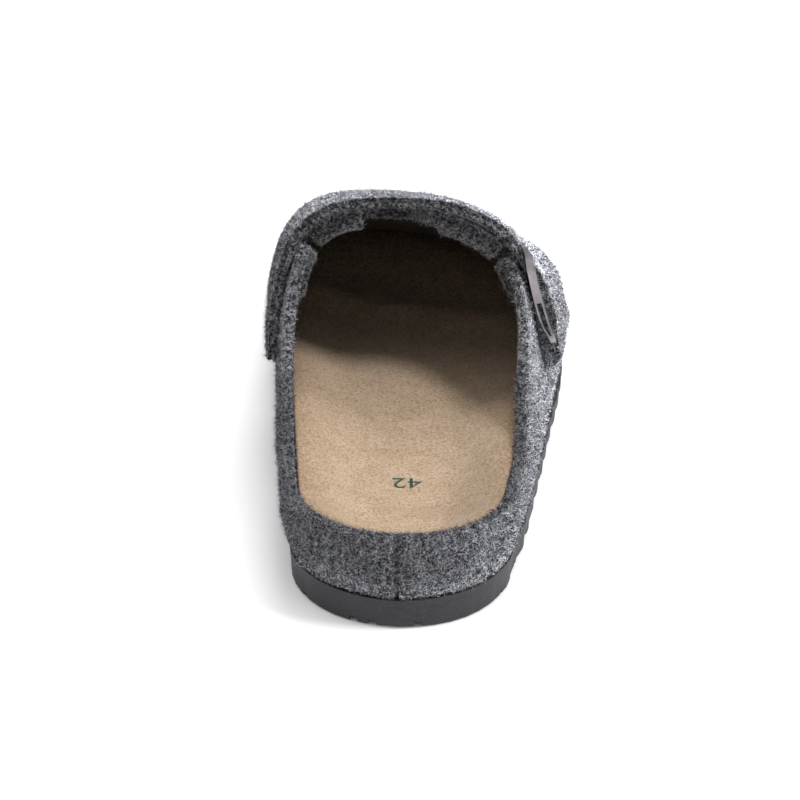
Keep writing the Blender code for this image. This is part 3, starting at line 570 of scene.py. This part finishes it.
weigh_outside(upper)
weigh_outside(strap)
add_lumps(upper, 0.014, 1.0 * MM)
add_lumps(upper, 0.0045, 0.5 * MM)
add_lumps(strap, 0.012, 0.8 * MM)
add_lumps(strap, 0.0045, 0.4 * MM)
print("lumps on", upper.name, "and", strap.name)

# %% [markdown]
# ## Flaps at the throat
#
# The vamp's rear edge is cut at both ends and in the middle, so two flaps of felt hang down a little inside,
# under the strap. The inner points near the edge are moved towards the foot, less and less further in. The
# felt beside the heel's seam is cut finer here as well, because the seam is narrow.

# %% Flaps at the throat
SEAM_X = -0.0060  # the seam down the heel's back
SEAM_BEHIND = -0.120  # and how far round the heel it may be looked for
SEAM_REACH = 0.008
FLAP_DROP = 3.6 * MM
FLAP_REACH = 0.014
FLAP_LOWEST = 0.046
NOTCH_MIDDLE = -0.0060
NOTCH_HALF = 0.0125
NOTCH_DROP = 0.25  # the notch's floor moves by this share of a flap's drop


def refine_at_seam(piece):
    """Gives the felt beside the seam enough points to hold a narrow trough."""
    only(piece)
    bpy.ops.object.mode_set(mode="EDIT")
    bpy.ops.mesh.select_mode(type="FACE")
    bpy.ops.mesh.select_all(action="DESELECT")
    bpy.ops.object.mode_set(mode="OBJECT")
    near = [
        face.center.y < SEAM_BEHIND and abs(face.center.x - SEAM_X) < SEAM_REACH
        for face in piece.data.polygons
    ]
    piece.data.polygons.foreach_set("select", near)
    bpy.ops.object.mode_set(mode="EDIT")
    bpy.ops.mesh.subdivide(number_cuts=2)
    bpy.ops.object.mode_set(mode="OBJECT")
    print(piece.name, "refined to", len(piece.data.polygons), "faces")


def hang_flaps(piece):
    """The vamp's rear edge hangs down inside, in a flap on either side of the notch."""
    places = mesh_arrays(piece)[0]
    inner = ramp(facing_foot(piece), -0.15, 0.45)
    near_edge = ramp(places[:, 1], THROAT + FLAP_REACH, THROAT)
    on_vamp = ramp(places[:, 1], THROAT - 1.2 * MM, THROAT - 0.2 * MM)
    high = ramp(places[:, 2], FLAP_LOWEST, FLAP_LOWEST + 8 * MM)
    beside = ramp(np.abs(places[:, 0] - NOTCH_MIDDLE), NOTCH_HALF, NOTCH_HALF + 2 * MM)
    drop = FLAP_DROP * (NOTCH_DROP + (1 - NOTCH_DROP) * beside)
    amount = drop * inner * np.sqrt(near_edge) * on_vamp * high
    place_points(piece, places + towards_foot(places) * amount[:, None])


refine_at_seam(upper)
hang_flaps(upper)
print("flaps hang on", upper.name)

# %% [markdown]
# ## Creases
#
# The creases are pressed in along lines that follow the photograph: the seam down the heel's back, the felt
# that swells on either side of it, and the pucker at its top.

# %% Creases


def distance_to_line(places, points):
    """Distance from each place to a line of points."""
    best = np.full(len(places), 9.0)
    for start, end in zip(points, points[1:]):
        a, run = np.array(start), np.array(end) - np.array(start)
        share = np.clip(((places - a) @ run) / (run @ run), 0, 1)
        best = np.minimum(best, np.linalg.norm(places - a - share[:, None] * run, axis=1))
    return best


def press(piece, outward, points, width, depth):
    """A soft trough, or a ridge where depth is negative, along a line."""
    places, normals = mesh_arrays(piece)
    off = distance_to_line(places, points)
    amount = depth * np.exp(-((off / width) ** 2)) * outward
    place_points(piece, places - normals * amount[:, None])


def press_seam(piece, outward, shift, width, depth):
    """A soft trough, or a ridge where depth is negative, down the heel's back, shift beside the seam."""
    places, normals = mesh_arrays(piece)
    off = places[:, 0] - SEAM_X - shift
    amount = depth * np.exp(-((off / width) ** 2)) * outward * (places[:, 1] < SEAM_BEHIND)
    place_points(piece, places - normals * amount[:, None])


UPPER_OUT = outward_share(upper)
press_seam(upper, UPPER_OUT, 0, 1.0 * MM, 0.9 * MM)
press_seam(upper, UPPER_OUT, -2.6 * MM, 1.4 * MM, -0.5 * MM)
press_seam(upper, UPPER_OUT, 2.7 * MM, 1.4 * MM, -0.6 * MM)
RIM_FOLD = (
    (SEAM_X - 0.0035, -0.1402, 0.0332),
    (SEAM_X, -0.1400, 0.0342),
    (SEAM_X + 0.0030, -0.1402, 0.0332),
)
RIM_DIMPLE = ((SEAM_X, -0.1425, 0.0350), (SEAM_X, -0.1370, 0.0350))
press(upper, 1.0, RIM_FOLD, 1.4 * MM, -0.7 * MM)
press(upper, 1.0, RIM_DIMPLE, 0.9 * MM, 1.0 * MM)
print("seam pressed into", upper.name)

# %% [markdown]
# ## The strap's two plies
#
# The strap is two layers of felt, one on the other, and its cut edge shows both. The lower ply stands out a
# little past the upper one, and that ledge catches the light. How far a place lies through the thickness is
# found from its distances to the strap's two faces.

# %% Ledge between the plies
PLY_LEDGE = 0.55 * MM
PLY_GROOVE = 0.35 * MM
PLY_SHARE = 0.54  # the lower ply's share of the thickness


def part_the_plies(piece):
    """Parts the plies along the strap's edge. Gives each point's share of the way through the strap."""
    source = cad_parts["instep_strap"].data
    corners = [v.co.copy() for v in source.vertices]
    under, over = [], []
    for face in source.polygons:
        way = Vector(towards_foot(np.array([face.center]))[0])
        facing = face.normal.dot(way)
        if abs(facing) > 0.5:
            (under if facing > 0 else over).append(tuple(face.vertices))
    trees = [BVHTree.FromPolygons(corners, faces) for faces in (under, over)]
    places, normals = mesh_arrays(piece)
    through = np.empty(len(places))
    for i, place in enumerate(places):
        low, high = (tree.find_nearest(Vector(place))[3] for tree in trees)
        through[i] = low / max(low + high, 1e-9)
    edge = ramp(np.abs(facing_foot(piece)), 0.625, 0)
    ledge = edge * ramp(through, PLY_SHARE - 0.02, PLY_SHARE - 0.12) * ramp(through, 0, 0.15)
    groove = edge * np.exp(-(((through - PLY_SHARE) / 0.07) ** 2))
    place_points(piece, places + normals * (PLY_LEDGE * ledge - PLY_GROOVE * groove)[:, None])
    return through


THROUGH = part_the_plies(strap)
print("plies parted on", strap.name)

# %% [markdown]
# The buckle's lower bar is held in a loop of the same felt, so the felt swells out over it and only the two
# side walls show. The swell follows the height on the buckle's side.

# %% Felt over the buckle's lower bar
LOOP_HEIGHTS = (0.030, 0.037, 0.046, 0.058)  # where the swell starts, is full, is still full and ends
LOOP_SWELL = 3.0 * MM
LOOP_BESIDE = 0.020  # only further out than this, on the buckle's side


def swell_over_bar(piece, through):
    places = mesh_arrays(piece)[0]
    rise = np.interp(places[:, 2], LOOP_HEIGHTS, (0, 1, 1, 0))
    rise = rise * rise * (3 - 2 * rise) * (places[:, 0] > LOOP_BESIDE)
    amount = LOOP_SWELL * rise * ramp(through, 0.35, 0.65)
    place_points(piece, places - towards_foot(places) * amount[:, None])


swell_over_bar(strap, THROUGH)
print("felt swells over the lower bar")

# %% [markdown]
# ## Painted light and shade on the felt
#
# The attribute tone paints light and shade into the felt. Faces high up that look back, the cut edges of the
# strap and the vamp, get painted shade, and so do the seam and the faces towards the foot. Faces on top of
# the strap, on the right side and low on the heel get painted light, and the lower ply's edge a painted
# highlight. The fibres take it as well.

# %% Painted light and shade on the felt
BASE_TONE = 0.80
# What each place adds to the painted light and shade, as a share of it.
PAINTED_TOP_LIGHT = 1.75
PAINTED_RIGHT_LIGHT = 1.30
PAINTED_LOW_LIGHT = 0.25
PAINTED_INSIDE_SHADE = -0.15
PAINTED_SEAM_SHADE = -0.38
PAINTED_PLY_HIGHLIGHT = 1.10  # the pale line along the lower ply's edge
PAINTED_UPPER_EDGE_SHADE = -0.58
PAINTED_STRAP_EDGE_SHADE = -0.50


def paint_light_and_shade(piece, edge_shade, through=None):
    places, normals = mesh_arrays(piece)
    # Painted light on upward faces high up, on the right side and low on the heel; painted shade on faces
    # high up that look back, along the seam and on the faces towards the foot.
    high = ramp(places[:, 2], 0.050, 0.062)
    top = high * ramp(normals[:, 2], 0.25, 0.70) * ramp(normals[:, 1], -0.75, 0.25)
    cut = high * ramp(normals[:, 1], -0.45, -0.80)
    low = ramp(places[:, 2], 0.021, 0.013)
    seam = np.exp(-(((places[:, 0] - SEAM_X) / (0.9 * MM)) ** 2)) * (places[:, 1] < SEAM_BEHIND)
    right = ramp(places[:, 0], 0, 0.05) * ramp(normals[:, 0], 0, 1)
    inside = ramp(facing_foot(piece), 0.1, 0.6)
    tone = BASE_TONE * (1 + PAINTED_TOP_LIGHT * top) * (1 + edge_shade * cut) * (1 + PAINTED_INSIDE_SHADE * inside)
    tone *= (1 + PAINTED_LOW_LIGHT * low) * (1 + PAINTED_SEAM_SHADE * seam) * (1 + PAINTED_RIGHT_LIGHT * right)
    # Painted highlight along the lower ply's edge.
    if through is not None:
        tone *= 1 + PAINTED_PLY_HIGHLIGHT * cut * np.exp(-(((through - 0.40) / 0.09) ** 2))
    piece.data.attributes.new("tone", "FLOAT", "POINT").data.foreach_set("value", tone)
    print(piece.name, "tone from", round(float(tone.min()), 2), "to", round(float(tone.max()), 2))
    return tone


PAINTED_LIGHT_AND_SHADE = {
    upper.name: paint_light_and_shade(upper, PAINTED_UPPER_EDGE_SHADE),
    strap.name: paint_light_and_shade(strap, PAINTED_STRAP_EDGE_SHADE, THROUGH),
}

# %% [markdown]
# ## Fuzz
#
# What makes felt look like felt from a step away is its outline: loose fibres stand off it. Each fibre here
# is a thin bent ribbon of three triangles, rooted on the felt, leaning over, with its own shade in a colour
# attribute. Tens of thousands of them make the nap, and finer, longer hairs stand up out of it. The seeds
# are fixed, so the nap is the same each time.

# %% Scatter loose fibres
FIBRE_SHADES = ((0.016, 0.017, 0.021), (0.10, 0.103, 0.118), (0.66, 0.67, 0.71))
FIBRE_SHARES = (0.40, 0.30, 0.30)
ROOT_DEPTH = 0.08 * MM


def make_fuzz():
    material, tree, shader = new_material("loose_wool", 0.9)
    shade = tree.nodes.new("ShaderNodeVertexColor")
    shade.layer_name = "fibre"
    tree.links.new(shade.outputs["Color"], shader.inputs["Base Color"])
    shader.inputs["Specular IOR Level"].default_value = 0.15
    return material


FUZZ = make_fuzz()


def felt_triangles(piece, ahead_of, behind, lowest):
    """Corners and painted light and shade of a piece's woollen triangles between two places along the shoe,
    above lowest.
    """
    mesh = piece.data
    mesh.calc_loop_triangles()
    count = len(mesh.loop_triangles)
    tris, kinds = np.empty(count * 3, dtype=np.int64), np.empty(count, dtype=np.int64)
    mesh.loop_triangles.foreach_get("vertices", tris)
    mesh.loop_triangles.foreach_get("material_index", kinds)
    tris = tris.reshape(-1, 3)
    corners = mesh_arrays(piece)[0][tris]
    along = corners[:, :, 1].mean(axis=1)
    wanted = (kinds == 0) & (along >= ahead_of) & (along < behind) & (corners[:, :, 2].min(axis=1) > lowest)
    return corners[wanted], PAINTED_LIGHT_AND_SHADE[piece.name][tris[wanted]].mean(axis=1)


def ribbon_mesh(name, points, count):
    """A mesh of count ribbons of five points and three triangles each."""
    base = np.arange(count)[:, None] * 5
    faces = np.concatenate([base + [0, 1, 3], base + [0, 3, 2], base + [2, 3, 4]], axis=1).reshape(-1, 3)
    mesh = bpy.data.meshes.new(name)
    mesh.vertices.add(len(points))
    mesh.vertices.foreach_set("co", points.ravel())
    mesh.loops.add(faces.size)
    mesh.loops.foreach_set("vertex_index", faces.ravel())
    mesh.polygons.add(len(faces))
    mesh.polygons.foreach_set("loop_start", np.arange(0, faces.size, 3))
    mesh.update(calc_edges=True)
    return mesh


def add_fuzz(piece, name, count, length, width, stand, seed, ahead_of=-1.0, behind=1.0, lowest=0.0):
    """Ribbons on a piece's wool. stand is how upright a fibre is, from 0, lying down, to 1. Felt with
    painted shade, at the cut edges, gets fewer, and each fibre takes the painted light and shade of its
    root."""
    rng = np.random.default_rng(seed)
    corners, light_and_shade = felt_triangles(piece, ahead_of, behind, lowest)
    a, b, c = corners.transpose(1, 0, 2)
    normal = np.cross(b - a, c - a)
    area = np.linalg.norm(normal, axis=1)
    normal /= np.maximum(area, 1e-12)[:, None]
    area = area * np.clip((light_and_shade - 0.10) / 0.55, 0.05, 1)
    pick = rng.choice(len(a), count, p=area / area.sum())
    u, v = rng.random(count), rng.random(count)
    over = u + v > 1
    u[over], v[over] = 1 - u[over], 1 - v[over]
    root = a[pick] + (b[pick] - a[pick]) * u[:, None] + (c[pick] - a[pick]) * v[:, None]
    out = normal[pick]
    lie = np.cross(out, rng.normal(size=(count, 3)))
    lie /= np.linalg.norm(lie, axis=1)[:, None]
    side = np.cross(out, lie)
    long = length * rng.uniform(0.4, 1.3, count)[:, None]
    rise = stand * rng.uniform(0.1, 1.3, count)[:, None]
    sway = rng.normal(scale=0.45, size=count)[:, None]
    half = width * rng.uniform(0.6, 1.2, count)[:, None] / 2
    knee = root + lie * long * 0.45 + out * long * rise * 0.6 + side * long * sway * 0.35
    tip_rise = rise * rng.uniform(0.1, 1.2, count)[:, None]
    tip = root + lie * long * 0.8 + out * long * tip_rise + side * long * sway
    root = root - out * ROOT_DEPTH
    flat = (side + out * rng.normal(scale=0.6, size=count)[:, None]) * half
    ribbon = [root - flat, root + flat, knee - flat * 0.8, knee + flat * 0.8, tip]
    fuzz = ribbon_mesh(name, np.stack(ribbon, axis=1).reshape(-1, 3), count)
    kind = rng.choice(len(FIBRE_SHADES), count, p=FIBRE_SHARES)
    # Painted light and shade: each fibre's shade is multiplied by the felt's painted value at its root.
    shade = np.array(FIBRE_SHADES)[kind] * (rng.uniform(0.75, 1.25, count) * light_and_shade[pick])[:, None]
    rgba = np.ones((count, 5, 4))
    rgba[:, :, :3] = shade[:, None, :]
    fuzz.color_attributes.new("fibre", "FLOAT_COLOR", "POINT").data.foreach_set("color", rgba.ravel())
    made = bpy.data.objects.new(name, fuzz)
    bpy.context.scene.collection.objects.link(made)
    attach(made, "root")
    made.data.materials.append(FUZZ)
    print(name, "has", count, "fibres and", len(fuzz.polygons), "triangles")
    return made


MIDDLE = -0.030  # the upper's fibres are two pieces that meet here, along the shoe
HAIRS_ABOVE = 0.017
NAP = {"length": 1.9 * MM, "width": 0.16 * MM, "stand": 0.42}
HAIR = {"length": 2.0 * MM, "width": 0.075 * MM, "stand": 1.0}
add_fuzz(upper, "heel_fuzz", 62000, seed=7, behind=MIDDLE, **NAP)
add_fuzz(upper, "vamp_fuzz", 62000, seed=8, ahead_of=MIDDLE, **NAP)
add_fuzz(strap, "strap_fuzz", 42000, seed=11, **NAP)
add_fuzz(upper, "heel_hairs", 26000, seed=21, behind=MIDDLE, lowest=HAIRS_ABOVE, **HAIR)
add_fuzz(upper, "vamp_hairs", 24000, seed=22, ahead_of=MIDDLE, lowest=HAIRS_ABOVE, **HAIR)
add_fuzz(strap, "strap_hairs", 24000, seed=23, **HAIR)

# %% [markdown]
# ## The size number
#
# A plain size number is printed on the footbed's heel, to be read from the toe. It is a text turned into a
# mesh, and each of its points is dropped onto the suede.

# %% Size number
NUMBER_PLACE = (-0.0030, -0.0722)
NUMBER_HEIGHT = 0.0104
NUMBER_BOLD = 0.01 * MM
PRINT_ABOVE = 0.07 * MM
PRINT_GREEN = (0.006, 0.058, 0.036)


def add_number():
    deselect()
    bpy.ops.object.text_add(location=(0, 0, 0))
    number = bpy.context.active_object
    number.name = "size_number"
    number.data.body = "42"
    number.data.size = NUMBER_HEIGHT
    number.data.align_x = "CENTER"
    number.data.align_y = "CENTER"
    number.data.offset = NUMBER_BOLD
    bpy.ops.object.convert(target="MESH")
    number.data.transform(Matrix.Translation((*NUMBER_PLACE, 0)) @ Matrix.Rotation(math.pi, 4, "Z"))
    for corner in number.data.vertices:
        above = Vector((corner.co.x, corner.co.y, 0.06))
        suede_place = footbed.ray_cast(above, Vector((0, 0, -1)))[1]
        corner.co.z = suede_place.z + PRINT_ABOVE
    ink, tree, shader = new_material("green_print", 0.8)
    wear = add_range(tree, add_noise(tree, object_place(tree), 0.6 * MM, 3.0, 0.7), 0.24, 0.44)
    tree.links.new(mix_colours(tree, wear, SUEDE_DARK, PRINT_GREEN), shader.inputs["Base Color"])
    number.data.materials.append(ink)
    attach(number, "root")
    return number


number = add_number()
print(number.name, "has", len(number.data.polygons), "faces")

# %% [markdown]
# ## Rubber sole and metal buckle
#
# The sole is foamed rubber with a fine matt skin, and the buckle is a plated frame with a soft, slightly
# pink silver finish. Both are rigid, so their copies keep every face of the CAD solids. A bevelled normal
# rounds their edges where the light meets them.

# %% Rubber and metal
RUBBER_DARK = (0.023, 0.0235, 0.026)
RUBBER_LIGHT = (0.036, 0.0365, 0.040)
RUBBER_SKIN = (0.080, 0.081, 0.088)
METAL_DARK = (0.36, 0.335, 0.350)
METAL_LIGHT = (0.58, 0.540, 0.570)


def soft_edges(tree, radius):
    node = tree.nodes.new("ShaderNodeBevel")
    node.samples = 4
    node.inputs["Radius"].default_value = radius
    return node.outputs["Normal"]


def make_rubber():
    material, tree, shader = new_material("charcoal_rubber", 0.6)
    place = object_place(tree)
    patchy = add_noise(tree, place, 16 * MM, 4.0, 0.6)
    tone = mix_colours(tree, add_range(tree, patchy, 0.35, 0.70), RUBBER_DARK, RUBBER_LIGHT)
    skin = add_noise(tree, place, 0.45 * MM, 3.0, 0.6)
    tone = mix_colours(tree, add_range(tree, skin, 0.42, 0.70, 0.0, 0.45), tone, RUBBER_SKIN)
    tree.links.new(tone, shader.inputs["Base Color"])
    tree.links.new(add_range(tree, patchy, 0.30, 0.75, 0.52, 0.72), shader.inputs["Roughness"])
    add_bump(tree, shader, skin, 0.3, 0.12 * MM, soft_edges(tree, 0.4 * MM))
    shader.inputs["Specular IOR Level"].default_value = 0.35
    return material


def make_metal():
    material, tree, shader = new_material("dull_silver", 0.34, 1.0)
    place = object_place(tree)
    cast = add_noise(tree, place, 4 * MM, 4.0, 0.6)
    tone = mix_colours(tree, add_range(tree, cast, 0.30, 0.75), METAL_DARK, METAL_LIGHT)
    tree.links.new(tone, shader.inputs["Base Color"])
    tree.links.new(add_range(tree, cast, 0.30, 0.75, 0.30, 0.44), shader.inputs["Roughness"])
    ripple = add_noise(tree, place, 1.1 * MM, 2.0, 0.5)
    add_bump(tree, shader, ripple, 0.05, 0.1 * MM, soft_edges(tree, 0.3 * MM))
    return material


def rigid_copy(node, name, material):
    piece = copy_node(node, name)
    only(piece)
    bpy.ops.object.shade_smooth_by_angle(angle=math.radians(35))
    piece.data.materials.append(material)
    print(name, "has", len(piece.data.polygons), "faces")
    return piece


outsole = rigid_copy("outsole", "rubber_outsole", make_rubber())
buckle = rigid_copy("buckle", "metal_buckle", make_metal())

# %% [markdown]
# ## Waves along the sole's side
#
# On the buckle's side the sole stands out a little past the felt, in low waves as long as the tread's
# blocks. The faces are cut finer first, so that the waves are smooth.

# %% Waves along the sole's side
SCALLOP_PITCH = 0.0145
SIDE_OUT = 0.7 * MM
SCALLOP = 0.50 * MM


def scallop_side(piece):
    """Pushes the sole's side out on the buckle's side, between the heel and the ball."""
    only(piece)
    bpy.ops.object.mode_set(mode="EDIT")
    bpy.ops.mesh.select_all(action="SELECT")
    bpy.ops.mesh.subdivide(number_cuts=2)
    bpy.ops.object.mode_set(mode="OBJECT")
    places = mesh_arrays(piece)[0]
    side = ramp(places[:, 0], 0.022, 0.034)
    along = ramp(places[:, 1], -0.125, -0.095) * ramp(places[:, 1], 0.060, 0.030)
    wave = np.abs(np.sin(math.pi * places[:, 1] / SCALLOP_PITCH)) ** 0.6 - 0.5
    places[:, 0] += side * along * (SIDE_OUT + 2 * SCALLOP * wave)
    place_points(piece, places)
    print("waves on", piece.name, "with", len(piece.data.polygons), "faces")


scallop_side(outsole)
